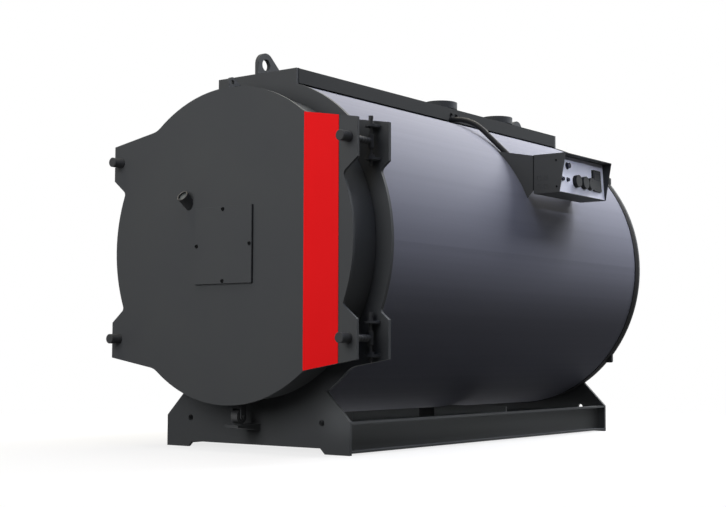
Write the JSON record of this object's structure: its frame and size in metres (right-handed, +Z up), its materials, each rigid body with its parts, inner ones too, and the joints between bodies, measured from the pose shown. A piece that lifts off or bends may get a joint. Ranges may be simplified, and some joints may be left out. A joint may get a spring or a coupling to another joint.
{
  "type": "industrial boiler",
  "caption": "Horizontal fire-tube hot-water boiler: lagged round shell between flat end plates on channel beams, deep hinged burner door, top flanges and a side control panel.",
  "frame": {"origin": "on the floor under the shell's axis, half way between the two end plates", "axes": "+X to the right seen from the front, +Y from the front door to the back, +Z up"},
  "size_m": [2.024, 3.558, 2.182],
  "materials": {
    "dark_paint": "satin",
    "jacket_sheet": "satin",
    "boiler_tube": "matte",
    "flange_steel": "satin",
    "red_paint": "gloss",
    "fire_lining": "matte",
    "clear_glass": "gloss",
    "roller_steel": "satin",
    "panel_paint": "satin",
    "panel_front": "satin",
    "black_plastic": "satin",
    "lamp_plastic": "gloss",
    "button_plastic": "gloss",
    "conduit_steel": "satin"
  },
  "bodies": {
    "boiler": {"front_plate": "dark_paint", "rear_plate": "dark_paint", "furnace_tube": "dark_paint", "furnace_end": "dark_paint", "smokebox_wall": "dark_paint", "smokebox_back": "dark_paint", "flue_outlet": "dark_paint", "cleaning_hatch": "dark_paint", "right_base_channel": "dark_paint", "left_base_channel": "dark_paint", "right_shell_support": "dark_paint", "left_shell_support": "dark_paint", "top_cover": "dark_paint", "front_lifting_lug": "dark_paint", "rear_lifting_lug": "dark_paint", "right_hinge_lugs": "dark_paint", "left_hinge_lugs": "dark_paint", "roller_shelf": "dark_paint", "front_panel_bracket": "dark_paint", "rear_panel_bracket": "dark_paint", "left_eyebolts": "dark_paint", "right_hinge_pins": "dark_paint", "left_hinge_pins": "dark_paint", "rear_jacket_band": "dark_paint", "jacket_upper_right": "jacket_sheet", "jacket_upper_left": "jacket_sheet", "jacket_lower_left": "jacket_sheet", "jacket_lower_right": "jacket_sheet", "smoke_tubes": "boiler_tube", "flow_nozzle": "flange_steel", "return_nozzle": "flange_steel", "panel_housing": "panel_paint", "panel_face": "panel_front", "panel_thermostats": "black_plastic", "panel_controller": "black_plastic", "panel_lamps": "lamp_plastic", "panel_button": "button_plastic", "cable_conduit": "conduit_steel"},
    "door": {"door_plate": "dark_paint", "door_drum": "dark_paint", "door_lining": "fire_lining", "door_stripe": "red_paint", "burner_plate": "dark_paint", "sight_tube": "dark_paint", "sight_glass": "clear_glass", "door_lifting_lug": "dark_paint", "right_eyebolts": "dark_paint", "right_nuts": "dark_paint", "left_nuts": "dark_paint", "roller_fork": "dark_paint"},
    "roller": {"door_roller": "roller_steel"}
  },
  "joints": [
    {"name": "door_hinge", "type": "hinge", "parent": "boiler", "child": "door", "pos_m": [0.82, -1.473, 1.097], "axis": [0, 0, 1], "range_deg": [0, 100]},
    {"name": "roller_spin", "type": "hinge", "parent": "door", "child": "roller", "pos_m": [0, -1.548, 0.185], "axis": [1, 0, 0], "continuous": true}
  ]
}
